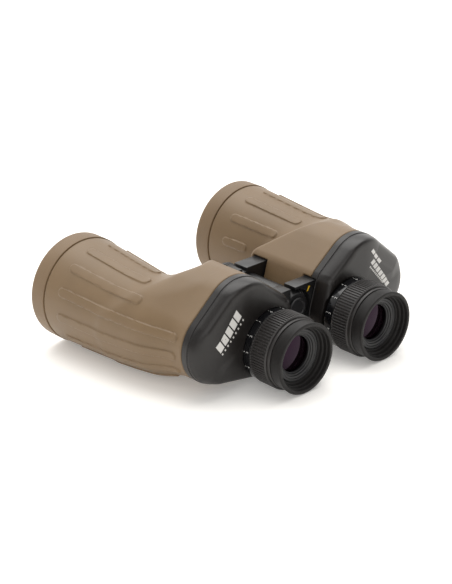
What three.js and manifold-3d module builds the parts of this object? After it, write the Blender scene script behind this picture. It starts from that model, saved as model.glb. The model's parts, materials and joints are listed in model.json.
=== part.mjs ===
// A pair of 10 x 50 porro-prism binoculars with individual eyepiece focusing.
//
// Millimetres. Everything is drawn in the optical frame: +X to the user's right, +Y from the
// eyepieces towards the objectives, +Z up, y = 0 at the right eyecup's rim, z = 0 at the lowest
// line of the objective rings. The whole is then tipped a little about X, as it lies on a table
// on its objective rings and focus rings, and set with the bottom centre of its box at the origin.

import * as THREE from 'three';
import { mergeVertices } from 'three/addons/utils/BufferGeometryUtils.js';
import Module from 'manifold-3d';

const wasm = await Module();
wasm.setup();

// ---------------------------------------------------------------- driving dimensions

const GAP = 0.35;                  // clearance kept between neighbouring pieces
const EYE = { x: 32.5, z: 29.26 };         // eyepiece axis, half the 65 mm eye spacing
const OBJECTIVE = { x: 67.42, z: 33.74 };  // objective axis
const HINGE_Z = 38;                // height of the central hinge's axis

const RING_R = 33.74;              // objective ring
const RING_REAR = 158.35;
const RING_FRONT = 170.48;

const COVER_REAR = 30.6;           // flat face of the rear prism cover
const COVER_FRONT = 45.8;          // where the cover meets the armoured housing
const SHELL_REAR = COVER_FRONT + GAP;
const SHELL_WALL = 2.6;
const SHELL_FRONT = RING_REAR - 0.4;

const RIM_R = 21.75;               // eyecup rim
const FOCUS_R = 22.6;              // knurled focus ring
const FOCUS_REAR = 10.9;           // from the eyecup's rim
const FOCUS_FRONT = 24.0;
const FOCUS_CHAMFER = 0.6;
const COLLAR_R = 22.0;             // dioptre scale collar
const COLLAR_FRONT = 29.6;         // it turns inside a round recess in the rear cover
const NECK_R = 18.3;               // fixed threaded neck that the focus ring rides on
const TUBE_R = 15.9;               // eyepiece tube
const LEFT_SCREWED_IN = 1.77;      // the left eyepiece is set this much further in

const LUG_TOP = 51.5;
const LUG_BOTTOM = 29;
const KNUCKLE_R = 11.3;
const AXLE_R = 5.5;
const SOCKET_R = 3.3;              // tripod socket in the axle's front end
const REAR_LUG = { from: 42.5, split: 47.2, to: 51.8 };
const FRONT_LUG = { from: 84.3, split: 89.8, to: 95.2 };

// The prism housing seen along the optical axis is bounded by four arcs, joined by straight sides
// along their common tangents.
const CROWN = { x: 48.5, z: 48.4, r: 24 };
const INNER_CORNER = { x: 24, z: 48.7, r: 9 };
const EYE_CORNER = { x: EYE.x, z: EYE.z, r: 22.8 };
const OUTER_CORNER = { x: 66, z: 34.9, r: 22.9 };

// Folded light path: objective axis -> FOLD -> eyepiece axis, two equal steps at a right angle.
const FOLD = {
  x: (OBJECTIVE.x + EYE.x) / 2 - (OBJECTIVE.z - EYE.z) / 2,
  z: (OBJECTIVE.z + EYE.z) / 2 + (OBJECTIVE.x - EYE.x) / 2,
};
const PRISM_HALF = 22.5;           // half the long face, and the prism's height
const PRISM_HALF_WIDTH = 10.5;
const SHELF_REAR = 58.6;
const SHELF_FRONT = 61.4;

const COLOURS = {
  armour: [0x87735d, 0.75, 0],
  black: [0x1b1b1d, 0.55, 0],
  gloss: [0x0c0c0e, 0.2, 0],
  rubber: [0x232325, 0.8, 0],
  lug: [0x18181a, 0.4, 0.6],
  alloy: [0x9a9a9c, 0.4, 0.9],
  brass: [0xa8864a, 0.4, 0.9],
  steel: [0xb4b6b8, 0.3, 0.9],
  glass: [0xa9c4c8, 0.05, 0],
  coated: [0x6a4d86, 0.05, 0],
};

// ---------------------------------------------------------------- solid helpers

function soup(positions) {
  const geometry = new THREE.BufferGeometry();
  geometry.setAttribute('position', new THREE.Float32BufferAttribute(positions, 3));
  return geometry;
}

// Merges shared vertices, drops flat triangles and turns the faces outwards.
function closed(source) {
  const bare = source.index ? source.toNonIndexed() : source.clone();
  for (const name of Object.keys(bare.attributes)) {
    if (name !== 'position') bare.deleteAttribute(name);
  }
  const merged = mergeVertices(bare, 1e-4);
  const old = merged.index.array;
  const kept = [];
  for (let i = 0; i < old.length; i += 3) {
    const [a, b, c] = [old[i], old[i + 1], old[i + 2]];
    if (a !== b && b !== c && c !== a) kept.push(a, b, c);
  }
  merged.setIndex(kept);
  if (volume(merged) < 0) merged.setIndex(kept.reverse());
  return merged;
}

function volume(geometry) {
  const position = geometry.attributes.position;
  const index = geometry.index.array;
  const [a, b, c] = [new THREE.Vector3(), new THREE.Vector3(), new THREE.Vector3()];
  let sum = 0;
  for (let i = 0; i < index.length; i += 3) {
    a.fromBufferAttribute(position, index[i]);
    b.fromBufferAttribute(position, index[i + 1]);
    c.fromBufferAttribute(position, index[i + 2]);
    sum += a.dot(b.cross(c)) / 6;
  }
  return sum;
}

function toManifold(geometry) {
  const solid = closed(geometry);
  return new wasm.Manifold(new wasm.Mesh({
    numProp: 3,
    vertProperties: new Float32Array(solid.attributes.position.array),
    triVerts: new Uint32Array(solid.index.array),
  }));
}

function toGeometry(manifold) {
  const mesh = manifold.getMesh();
  const geometry = new THREE.BufferGeometry();
  const points = new Float32Array(mesh.vertProperties);
  geometry.setAttribute('position', new THREE.BufferAttribute(points, 3));
  geometry.setIndex(new THREE.BufferAttribute(new Uint32Array(mesh.triVerts), 1));
  return geometry;
}

function joined(...geometries) {
  return toGeometry(geometries.map(toManifold).reduce((sum, next) => sum.add(next)));
}

function cut(geometry, ...tools) {
  return toGeometry(tools.map(toManifold).reduce((rest, tool) => rest.subtract(tool), toManifold(geometry)));
}

function common(first, second) {
  return toGeometry(toManifold(first).intersect(toManifold(second)));
}

// Skins a list of rings with the same number of points, and closes both ends.
function loft(rings) {
  const positions = [];
  const centre = (ring) => [0, 1, 2].map((k) => ring.reduce((sum, p) => sum + p[k], 0) / ring.length);
  const count = rings[0].length;
  for (let i = 0; i < count; i += 1) {
    const j = (i + 1) % count;
    for (let k = 0; k + 1 < rings.length; k += 1) {
      const [a, b] = [rings[k], rings[k + 1]];
      positions.push(...a[i], ...b[i], ...b[j], ...a[i], ...b[j], ...a[j]);
    }
    const last = rings.length - 1;
    positions.push(...centre(rings[0]), ...rings[0][i], ...rings[0][j]);
    positions.push(...centre(rings[last]), ...rings[last][j], ...rings[last][i]);
  }
  return closed(soup(positions));
}

// Turns a profile of [radius, y] points about the Y axis; it closes on itself or on the axis.
function turned(profile, segments = 28) {
  const onAxis = profile[0][0] === 0 && profile[profile.length - 1][0] === 0;
  const points = (onAxis ? profile : [...profile, profile[0]]).map(([r, y]) => new THREE.Vector2(r, y));
  return closed(new THREE.LatheGeometry(points, segments));
}

function box(x0, x1, y0, y1, z0, z1) {
  const geometry = new THREE.BoxGeometry(x1 - x0, y1 - y0, z1 - z0);
  return geometry.translate((x0 + x1) / 2, (y0 + y1) / 2, (z0 + z1) / 2);
}

function rod(x, z, r, y0, y1, segments = 24) {
  return turned([[0, y0], [r, y0], [r, y1], [0, y1]], segments).translate(x, 0, z);
}

// ---------------------------------------------------------------- housing outline

const wrap = (angle) => THREE.MathUtils.euclideanModulo(angle, 2 * Math.PI);

// Angle of the outward normal of the common tangent of two circles, left of the line a -> b.
function tangentAngle(a, b) {
  const [dx, dz] = [b.x - a.x, b.z - a.z];
  return Math.atan2(dz, dx) + Math.acos((a.r - b.r) / Math.hypot(dx, dz));
}

function arcAngles(from, to, steps) {
  return Array.from({ length: steps + 1 }, (_, i) => from + ((to - from) * i) / steps);
}

// Each outline point is an arc and an outward normal, so that an inset only shortens the radius.
const CORNERS = [
  { arc: CROWN, steps: 7 }, { arc: INNER_CORNER, steps: 3 },
  { arc: EYE_CORNER, steps: 7 }, { arc: OUTER_CORNER, steps: 8 },
];
const OUTLINE = CORNERS.flatMap(({ arc, steps }, i) => {
  const before = CORNERS[(i + CORNERS.length - 1) % CORNERS.length].arc;
  const after = CORNERS[(i + 1) % CORNERS.length].arc;
  const from = wrap(tangentAngle(arc, before));
  const turn = wrap(tangentAngle(after, arc) - from);
  return arcAngles(from, from + turn, steps).map((angle) => ({ arc, angle }));
});

function outlineRing(y, inset) {
  return OUTLINE.map(({ arc, angle }) => [
    arc.x + (arc.r - inset) * Math.cos(angle), y, arc.z + (arc.r - inset) * Math.sin(angle),
  ]);
}

function outlinePrism(y0, y1, inset) {
  return loft([outlineRing(y0, inset), outlineRing(y1, inset)]);
}

// The objective tube tapers back into the outer corner of the housing.
const BARREL = [
  { y: SHELL_REAR, x: OUTER_CORNER.x, z: OUTER_CORNER.z, r: OUTER_CORNER.r },
  { y: 56, x: 67, z: 34.6, r: 24 },
  { y: 72, x: 68, z: 33.8, r: 26.3 },
  { y: 110, x: 68.2, z: 32.9, r: 29.5 },
  { y: SHELL_FRONT, x: OBJECTIVE.x, z: OBJECTIVE.z, r: 33.3 },
];

function barrelAt(y) {
  const next = BARREL.findIndex((section) => section.y > y);
  const k = next < 0 ? BARREL.length - 2 : Math.max(0, next - 1);
  const t = (y - BARREL[k].y) / (BARREL[k + 1].y - BARREL[k].y);
  const mix = (key) => THREE.MathUtils.lerp(BARREL[k][key], BARREL[k + 1][key], t);
  return { x: mix('x'), z: mix('z'), r: mix('r') };
}

// From SHOULDER_FROM to SHOULDER_TO the housing's section sinks into the tube in a hollow curve.
const SHOULDER_FROM = 56;
const SHOULDER_TO = 104;
const SHOULDER_POWER = 2.6;        // how quickly the housing's section gives way to the tube

function bodyRing(y, inset) {
  const tube = barrelAt(y);
  const s = THREE.MathUtils.clamp((y - SHOULDER_FROM) / (SHOULDER_TO - SHOULDER_FROM), 0, 1);
  const share = (1 - s) ** SHOULDER_POWER;
  return outlineRing(y, inset).map(([x, , z], i) => {
    const { angle } = OUTLINE[i];
    const tubeX = tube.x + (tube.r - inset) * Math.cos(angle);
    const tubeZ = tube.z + (tube.r - inset) * Math.sin(angle);
    return [tubeX + (x - tubeX) * share, y, tubeZ + (z - tubeZ) * share];
  });
}

const BODY_STATIONS = [SHELL_REAR, SHOULDER_FROM, 61, 67, 75, 85, SHOULDER_TO, SHELL_FRONT];

// The inner side runs further forward over the front prism, under a sloping roof that follows it.
const ROOF_SLOPE = 0.87;
const ROOF_CROWN_Y = 97.3;         // height of the roof plane that faces the crown, at the prism's middle
const ROOF_INNER_Y = 107.5;        // the same for the plane that faces the hinge
const NOSE_Y = 99;
const ALONG = new THREE.Vector2(FOLD.x - EYE.x, FOLD.z - EYE.z).normalize();
const FRONT_PRISM = { x: (FOLD.x + EYE.x) / 2, z: (FOLD.z + EYE.z) / 2 };
const REAR_PRISM = { x: (FOLD.x + OBJECTIVE.x) / 2, z: (FOLD.z + OBJECTIVE.z) / 2 };

// A second crown plane climbs towards the outer side, from HIP_START across the front prism.
const HIP_SLOPE = 0.5;
const HIP_START = -15;
const ROOF_REACH = 70;

// Profiles are drawn in (distance along the front prism, y); without hips the roof is one block.
function roofBlock(inset, crownAtReach) {
  const high = NOSE_Y - inset;
  const inner = ROOF_INNER_Y - inset;
  const profile = [
    [-ROOF_REACH, 0], [ROOF_REACH, 0], ...crownAtReach, [(high - inner) / ROOF_SLOPE, high],
    [-ROOF_REACH, inner - ROOF_SLOPE * ROOF_REACH],
  ];
  return onPath(extruded(profile, 2 * ROOF_REACH), FRONT_PRISM, { x: ALONG.x, z: ALONG.y }, 0, 1);
}

function hipBlock(inset) {
  const corners = [[-1, -1], [1, -1], [1, 1], [-1, 1]].map(([a, b]) => [a * ROOF_REACH, b * ROOF_REACH]);
  const place = ([along, across], y) => [
    FRONT_PRISM.x + along * ALONG.x + across * ALONG.y, y, FRONT_PRISM.z + along * ALONG.y - across * ALONG.x,
  ];
  const top = ([along, across]) => {
    return ROOF_CROWN_Y - inset - ROOF_SLOPE * along + HIP_SLOPE * (across - HIP_START);
  };
  const floor = -100;
  const ring = (height) => corners.map((corner) => place(corner, height(corner)));
  return loft([ring(() => floor), ring(top)]);
}

function noseBlock(inset) {
  const high = NOSE_Y - inset;
  const crown = ROOF_CROWN_Y - inset;
  const plain = roofBlock(inset, [
    [ROOF_REACH, crown - ROOF_SLOPE * ROOF_REACH], [(crown - high) / ROOF_SLOPE, high],
  ]);
  const hipped = common(roofBlock(inset, [[ROOF_REACH, high]]), hipBlock(inset));
  return common(outlinePrism(SHELL_REAR, NOSE_Y, inset), joined(plain, hipped));
}

function bodySolid(inset, rear, front) {
  const rings = BODY_STATIONS.map((y) => bodyRing(y, inset));
  rings[0] = rings[0].map(([x, , z]) => [x, rear, z]);
  rings[rings.length - 1] = rings[rings.length - 1].map(([x, , z]) => [x, front, z]);
  return joined(loft(rings), noseBlock(inset));
}

// ---------------------------------------------------------------- body pieces, drawn for the right

const LUG_SINK = 1.3;              // how deep the lugs reach into the housing's wall

function lugBlock({ from, to }, tip, grow) {
  const buried = 24;
  return box(tip, buried, from - grow, to + grow, LUG_BOTTOM - grow, LUG_TOP + grow);
}

function lugPockets() {
  const core = outlinePrism(0, 120, LUG_SINK + GAP);
  return [REAR_LUG, FRONT_LUG].map((lug) => cut(lugBlock(lug, -3, GAP), core));
}

function bodyShell() {
  const outer = bodySolid(0, SHELL_REAR, SHELL_FRONT);
  const hollow = bodySolid(SHELL_WALL, SHELL_REAR - 5, SHELL_FRONT + 5);
  const rearMouth = outlinePrism(SHELL_REAR - 5, SHELL_REAR + 5, SHELL_WALL);
  return cut(outer, hollow, rearMouth, ...lugPockets());
}

const RECESS = { r: COLLAR_R + GAP, front: 32, wall: 1.3 };  // in the cover, around the scale collar

// The cover's rear edge is crisp at the crown and rolls off towards the outer side and the bottom,
// where the face also bends forward; the corner beside the hinge is planed off.
const smooth = (t) => THREE.MathUtils.smoothstep(t, 0, 1);

function outerShare(angle) {
  const turned = THREE.MathUtils.radToDeg(wrap(angle + Math.PI) - Math.PI);
  const [reach, blend] = turned > 0 ? [80, 50] : [115, 60];
  return smooth((reach - Math.abs(turned)) / blend);
}

function innerShare(angle) {
  const [middle, spread] = [142, 18];
  return Math.exp(-(((THREE.MathUtils.radToDeg(wrap(angle)) - middle) / spread) ** 2));
}

function coverRing({ y, inset, outer, inner }) {
  return OUTLINE.map(({ arc, angle }) => {
    const r = arc.r - inset - outer[1] * outerShare(angle) - inner * innerShare(angle);
    return [arc.x + r * Math.cos(angle), y + outer[0] * outerShare(angle), arc.z + r * Math.sin(angle)];
  });
}

const COVER_SECTIONS = [
  { y: COVER_FRONT, inset: 0, outer: [0, 0], inner: 0 },
  { y: 41.6, inset: 0, outer: [0, 0], inner: 0 },
  { y: 41.3, inset: 0.3, outer: [0, 0], inner: 0 },
  { y: 36.5, inset: 0.4, outer: [2.5, 0.5], inner: 0.4 },
  { y: 33.4, inset: 0.5, outer: [3.6, 1.4], inner: 1.2 },
  { y: 31.6, inset: 0.7, outer: [3.8, 2.6], inner: 2.4 },
  { y: 30.9, inset: 1.4, outer: [3.5, 3.3], inner: 3 },
  { y: COVER_REAR, inset: 5.5, outer: [1.8, 8], inner: 2.6 },
];

const COVER_HOLLOW = [
  { y: COVER_FRONT + 1, inset: 3, outer: [0, 0], inner: 0 },
  { y: 39, inset: 3.2, outer: [1.5, 0.8], inner: 0.4 },
  { y: 36, inset: 3.6, outer: [3.3, 2.4], inner: 1.6 },
  { y: 33.6, inset: 4.6, outer: [3, 4.4], inner: 2.6 },
  { y: COVER_REAR + 2.2, inset: 6, outer: [0.6, 8.5], inner: 2.2 },
];

function rearCover() {
  const outer = loft(COVER_SECTIONS.map(coverRing));
  const inner = loft(COVER_HOLLOW.map(coverRing));
  const floor = rod(EYE.x, EYE.z, RECESS.r + RECESS.wall, COVER_REAR - 1, RECESS.front + RECESS.wall, 36);
  const recess = rod(EYE.x, EYE.z, RECESS.r, COVER_REAR - 2, RECESS.front, 36);
  const neckHole = rod(EYE.x, EYE.z, NECK_R + GAP, COVER_REAR - 2, COVER_FRONT, 32);
  return cut(outer, cut(inner, floor), recess, neckHole, ...lugPockets());
}

function objectiveRing() {
  const spigotR = 29.3;
  return turned([
    [27.8, RING_FRONT], [33.1, RING_FRONT], [RING_R, RING_FRONT - 0.7], [RING_R, RING_REAR],
    [spigotR, RING_REAR], [spigotR, 153], [28.5, 153], [28.5, 163],
  ], 36);
}

const CELL_REAR = 140;
const LENS_R = 26.0;

function objectiveCell() {
  return turned([
    [24.8, CELL_REAR], [28.1, CELL_REAR], [28.1, 161.5], [LENS_R + GAP, 161.5],
    [LENS_R + GAP, CELL_REAR + 1.6], [24.8, CELL_REAR + 1.6],
  ], 28);
}

// A lens of radius r whose faces bulge by rearBulge and frontBulge from y0 and y1.
function lens(r, y0, y1, rearBulge, frontBulge, segments = 28) {
  const steps = 2;
  const face = (y, bulge) => Array.from({ length: steps + 1 }, (_, i) => {
    const part = i / steps;
    return [r * part, y + bulge * (1 - part * part)];
  });
  return turned([...face(y0, -rearBulge), ...face(y1, frontBulge).reverse()], segments);
}

function ring(rIn, rOut, y0, y1, segments = 28) {
  return turned([[rIn, y0], [rOut, y0], [rOut, y1], [rIn, y1]], segments);
}

// ---------------------------------------------------------------- prisms

// Places a shape drawn in (along the long face, depth) so that its long face lies at y.
function onPath(geometry, centre, direction, y, facing) {
  const along = new THREE.Vector3(direction.x, 0, direction.z).normalize();
  const depth = new THREE.Vector3(0, facing, 0);
  const across = new THREE.Vector3().crossVectors(along, depth);
  const frame = new THREE.Matrix4().makeBasis(along, depth, across);
  return closed(geometry).applyMatrix4(frame.setPosition(centre.x, y, centre.z));
}

function prismShape(half) {
  const nib = 1.2;
  return [[-half, 0], [half, 0], [half, nib], [nib, half], [-nib, half], [-half, nib]];
}

function extruded(points, width) {
  const shape = new THREE.Shape(points.map(([x, y]) => new THREE.Vector2(x, y)));
  const geometry = new THREE.ExtrudeGeometry(shape, { depth: width, bevelEnabled: false });
  return geometry.translate(0, 0, -width / 2);
}

function clipShape(half) {
  const [inside, thick, reach] = [0.5, 0.9, half * 0.72];
  const outer = inside + thick * Math.SQRT2;
  const nib = 1.2;
  return [
    [-reach, half + nib + inside - reach], [-nib, half + inside], [nib, half + inside],
    [reach, half + nib + inside - reach], [reach, half + nib + outer - reach],
    [nib, half + outer], [-nib, half + outer], [-reach, half + nib + outer - reach],
  ];
}

function prismShelf() {
  const room = bodySolid(SHELL_WALL + GAP, SHELL_REAR, SHELL_FRONT);
  const plate = common(room, outlinePrism(SHELF_REAR, SHELF_FRONT, SHELL_WALL + 0.8));
  const window = (centre, r) => rod(centre.x, centre.z, r, SHELF_REAR - 1, SHELF_FRONT + 1, 24);
  return cut(plate, window(OBJECTIVE, 11.2), window(FOLD, 10.8), window(EYE, 10.2));
}

// ---------------------------------------------------------------- eyepiece pieces, y from the rim

function eyecup() {
  return turned([
    [19.4, 0], [21.4, 0], [RIM_R, 0.4], [20.9, 8.5], [TUBE_R + GAP, 8.5], [TUBE_R + GAP, 6.8], [19.1, 6],
  ], 32);
}

function eyepieceTube() {
  return turned([
    [11.0, 9.4], [12.4, 8.2], [TUBE_R, 6.6], [TUBE_R, 37], [12.2, 37], [12.2, 10.4], [11.0, 10.4],
  ], 28);
}

function focusRing() {
  const bore = NECK_R + 0.4;
  return turned([
    [TUBE_R + GAP, 8.9], [21.2, 8.9], [21.2, FOCUS_REAR], [22.1, FOCUS_REAR],
    [FOCUS_R, FOCUS_REAR + FOCUS_CHAMFER], [FOCUS_R, FOCUS_FRONT - FOCUS_CHAMFER], [22.1, FOCUS_FRONT],
    [bore, FOCUS_FRONT], [bore, 12.4], [TUBE_R + GAP, 12.4],
  ], 36);
}

// ---------------------------------------------------------------- hinge pieces

// Each lug is a block whose knuckle fills one half of its width around the axle.
function lug(spec, { owner, tip }) {
  const near = owner === 'rear' ? [spec.from, spec.split - GAP / 2] : [spec.split + GAP / 2, spec.to];
  const far = owner === 'rear' ? [spec.split - GAP / 2, spec.to + 1] : [spec.from - 1, spec.split + GAP / 2];
  const block = cut(lugBlock(spec, tip, 0), outlinePrism(0, 120, LUG_SINK));
  const clearance = rod(0, HINGE_Z, KNUCKLE_R + 0.5, far[0], far[1]);
  const inner = box(-30, 6, spec.from - 1, spec.to + 1, LUG_BOTTOM - 5, HINGE_Z + 6);
  const knuckle = rod(0, HINGE_Z, KNUCKLE_R, near[0], near[1]);
  const bore = rod(0, HINGE_Z, AXLE_R + GAP, spec.from - 1, spec.to + 1);
  return cut(joined(cut(block, clearance, inner), knuckle), bore);
}

function rearDisc() {
  const [rear, front] = [REAR_LUG.from - 1.6, REAR_LUG.from - 0.5];
  const profile = [[0, rear], [5.9, rear], [6.6, rear + 0.6], [6.6, front], [0, front]];
  return turned(profile, 24).translate(0, 0, HINGE_Z);
}

const CAP_REAR = FRONT_LUG.to + 0.5;
const CAP_FRONT = CAP_REAR + 11;
const CAP_R = 10.2;

function axle() {
  const bar = rod(0, HINGE_Z, AXLE_R, REAR_LUG.from - 0.1, CAP_REAR - GAP);
  return cut(bar, rod(0, HINGE_Z, SOCKET_R, CAP_REAR - 12, CAP_REAR + 1, 20));
}

function socketCap() {
  return turned([
    [0, CAP_REAR - 8], [SOCKET_R - GAP, CAP_REAR - 8], [SOCKET_R - GAP, CAP_REAR], [CAP_R, CAP_REAR],
    [CAP_R, CAP_FRONT - 1], [CAP_R - 1, CAP_FRONT], [0, CAP_FRONT],
  ]).translate(0, 0, HINGE_Z);
}

// ---------------------------------------------------------------- assembly

const optical = new THREE.Group();

function add(name, geometry, colour, x = 0, y = 0, z = 0) {
  const [color, roughness, metalness] = COLOURS[colour];
  const material = new THREE.MeshStandardMaterial({ color, roughness, metalness });
  const mesh = new THREE.Mesh(geometry, material);
  mesh.name = name;
  mesh.position.set(x, y, z);
  optical.add(mesh);
}

function sided(geometry, sign) {
  return sign > 0 ? geometry : closed(geometry.clone().scale(-1, 1, 1));
}

function addBody(side, sign) {
  const put = (name, geometry, colour) => add(`${side}_${name}`, sided(geometry, sign), colour);
  put('body_shell', bodyShell(), 'armour');
  put('rear_cover', rearCover(), 'black');
  put('prism_shelf', prismShelf(), 'alloy');
  const step1 = { x: FOLD.x - OBJECTIVE.x, z: FOLD.z - OBJECTIVE.z };
  const step2 = { x: EYE.x - FOLD.x, z: EYE.z - FOLD.z };
  const glass = extruded(prismShape(PRISM_HALF), 2 * PRISM_HALF_WIDTH);
  const clip = extruded(clipShape(PRISM_HALF), 6);
  put('rear_prism', onPath(glass, REAR_PRISM, step1, SHELF_REAR - GAP, -1), 'glass');
  put('front_prism', onPath(glass, FRONT_PRISM, step2, SHELF_FRONT + GAP, 1), 'glass');
  put('rear_prism_clip', onPath(clip, REAR_PRISM, step1, SHELF_REAR - GAP, -1), 'steel');
  put('front_prism_clip', onPath(clip, FRONT_PRISM, step2, SHELF_FRONT + GAP, 1), 'steel');
  const front = (name, geometry, colour) => {
    add(`${side}_${name}`, geometry, colour, sign * OBJECTIVE.x, 0, OBJECTIVE.z);
  };
  front('objective_ring', objectiveRing(), 'armour');
  front('objective_cell', objectiveCell(), 'black');
  front('objective_front_lens', lens(LENS_R, 149, 153.5, 3, 3), 'coated');
  front('objective_rear_lens', lens(LENS_R, 142.8, 148.2, -0.6, -3.6), 'coated');
  front('objective_retaining_ring', ring(24.9, LENS_R, 154.6, 157.2), 'black');
  add(`${side}_focus_neck`, ring(17.4, NECK_R, 16.2, 35), 'brass', sign * EYE.x, 0, EYE.z);
}

function addEyepiece(side, sign, screwedIn) {
  const put = (name, geometry, colour) => {
    add(`${side}_${name}`, geometry, colour, sign * EYE.x, screwedIn, EYE.z);
  };
  put('helicoid_sleeve', ring(16.3, 17.0, 12.8, 34), 'brass');
  put('eyecup', eyecup(), 'rubber');
  put('eyepiece_tube', eyepieceTube(), 'black');
  put('focus_ring', focusRing(), 'rubber');
  put('dioptre_scale_collar', ring(NECK_R + 0.4, COLLAR_R, FOCUS_FRONT + GAP, COLLAR_FRONT, 36), 'gloss');
  put('eye_lens', lens(11.85, 11.6, 14.4, 0.8, 1.4, 22), 'coated');
  put('lens_spacer', ring(10.9, 11.85, 16, 24.6, 22), 'black');
  put('field_lens', lens(11.85, 26, 29.5, 1, 1.2, 22), 'coated');
}

addBody('left', -1);
addBody('right', 1);
addEyepiece('left', -1, LEFT_SCREWED_IN);
addEyepiece('right', 1, 0);

const LEFT_TIP = 5;
const RIGHT_TIP = -1.2;
add('left_rear_lug', sided(lug(REAR_LUG, { owner: 'rear', tip: LEFT_TIP }), -1), 'lug');
add('right_rear_lug', lug(REAR_LUG, { owner: 'front', tip: RIGHT_TIP }), 'lug');
add('left_front_lug', sided(lug(FRONT_LUG, { owner: 'front', tip: LEFT_TIP }), -1), 'lug');
add('right_front_lug', lug(FRONT_LUG, { owner: 'rear', tip: RIGHT_TIP }), 'lug');
add('hinge_axle', axle(), 'steel');
add('hinge_sleeve', ring(AXLE_R + GAP, 9.5, REAR_LUG.to + GAP, FRONT_LUG.from - GAP), 'lug', 0, 0, HINGE_Z);
add('hinge_rear_disc', rearDisc(), 'black');
add('tripod_socket_cap', socketCap(), 'black');

// It lies on the rear edges of the objective rings and of the focus rings.
const REST_TILT = Math.atan((EYE.z - FOCUS_R) / (RING_REAR - FOCUS_REAR - FOCUS_CHAMFER));

const part = new THREE.Group();
optical.rotation.x = REST_TILT;
part.add(optical);
part.updateMatrixWorld(true);
const extent = new THREE.Box3().setFromObject(part, true);
optical.position.set(0, -(extent.min.y + extent.max.y) / 2, -extent.min.z);

export default part;
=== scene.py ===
"""Porro-prism binoculars: the finished surfaces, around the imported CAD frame.

Shapes are drawn in millimetres in the optical frame: +X to the user's right, +Y from the eyepieces
to the objectives, +Z up, y = 0 at the right eyecup's rim. TO_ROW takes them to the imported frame.
"""

import json
import math

import bmesh
import bpy
import numpy as np
from mathutils import Matrix, Vector
from mathutils.bvhtree import BVHTree


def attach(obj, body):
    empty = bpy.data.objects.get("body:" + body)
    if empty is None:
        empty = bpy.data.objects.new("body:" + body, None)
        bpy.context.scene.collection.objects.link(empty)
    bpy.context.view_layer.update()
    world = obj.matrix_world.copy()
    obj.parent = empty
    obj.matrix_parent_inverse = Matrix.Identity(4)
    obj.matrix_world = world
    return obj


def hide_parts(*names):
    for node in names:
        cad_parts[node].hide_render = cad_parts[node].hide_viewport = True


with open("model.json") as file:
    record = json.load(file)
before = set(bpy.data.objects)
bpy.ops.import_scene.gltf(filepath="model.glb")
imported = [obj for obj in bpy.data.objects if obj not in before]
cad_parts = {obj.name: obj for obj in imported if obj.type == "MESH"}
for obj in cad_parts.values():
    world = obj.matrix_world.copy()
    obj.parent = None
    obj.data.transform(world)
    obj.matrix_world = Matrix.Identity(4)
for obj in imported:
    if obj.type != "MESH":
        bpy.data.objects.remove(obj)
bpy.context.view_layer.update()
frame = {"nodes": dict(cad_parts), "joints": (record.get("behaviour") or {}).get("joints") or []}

# ---------------------------------------------------------------- optical frame

MM = 0.001
JOINTS = {joint["name"]: joint for joint in frame["joints"]}
HINGE = JOINTS["interpupillary_hinge"]
HINGE_Y, HINGE_Z = 60.0, 38.0            # the hinge joint's point in the optical frame
RIGHTWARD = Vector((1, 0, 0))
AHEAD = Vector(HINGE["axis"]).normalized()
UPWARD = RIGHTWARD.cross(AHEAD)
TURN = Matrix((RIGHTWARD, AHEAD, UPWARD)).transposed()
TO_ROW = (
    Matrix.Translation(Vector(HINGE["pos_m"]))
    @ (TURN * MM).to_4x4()
    @ Matrix.Translation((0, -HINGE_Y, -HINGE_Z))
)

# ---------------------------------------------------------------- driving dimensions, mm

EYE_X, EYE_Z = 32.5, 29.26
OBJECTIVE_X, OBJECTIVE_Z = 67.42, 33.74
RING_R, RING_REAR, RING_FRONT = 33.74, 158.35, 170.48
COVER_REAR, COVER_FRONT = 30.6, 45.8
SHELL_REAR, SHELL_FRONT, SHELL_WALL = 46.15, 157.95, 2.6
TUBE_R, NECK_R, COLLAR_R, FOCUS_R, CUP_R = 15.9, 18.3, 22.0, 22.6, 21.75
FOCUS_REAR, FOCUS_FRONT = 10.9, 24.0
COLLAR_REAR, COLLAR_FRONT = 24.35, 29.6
RECESS_FRONT, RECESS_WALL = 32.0, 1.3    # of the cover's round recess around the collar
LEFT_SCREWED_IN = 1.77
LUG_BOTTOM, LUG_TOP, LUG_SINK = 29.0, 51.5, 1.3
KNUCKLE_R, AXLE_R, SOCKET_R, SLEEVE_R = 11.3, 5.5, 3.3, 9.5
REAR_LUG = (42.5, 47.2, 51.8)            # from, split between the two knuckles, to
FRONT_LUG = (84.3, 89.8, 95.2)
LEFT_TIP, RIGHT_TIP = 5.0, -1.2          # where the brackets end above the hinge, towards its middle
GAP = 0.35

# The housing's outline is four arcs (x, z, radius), joined along their common tangents.
CROWN = (48.5, 48.4, 24.0)
INNER_CORNER = (24.0, 48.7, 9.0)
EYE_CORNER = (EYE_X, EYE_Z, 22.8)
OUTER_CORNER = (66.0, 34.9, 22.9)
CORNERS = (CROWN, INNER_CORNER, EYE_CORNER, OUTER_CORNER)

# Sections of the objective tube: y, centre x, centre z, radius.
BARREL = np.array([
    (SHELL_REAR, *OUTER_CORNER),
    (56.0, 67.0, 34.6, 24.0),
    (72.0, 68.0, 33.8, 26.3),
    (110.0, 68.2, 32.9, 29.5),
    (SHELL_FRONT, OBJECTIVE_X, OBJECTIVE_Z, 33.3),
])
SHOULDER_FROM, SHOULDER_TO, SHOULDER_POWER = 56.0, 104.0, 2.6

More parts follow.
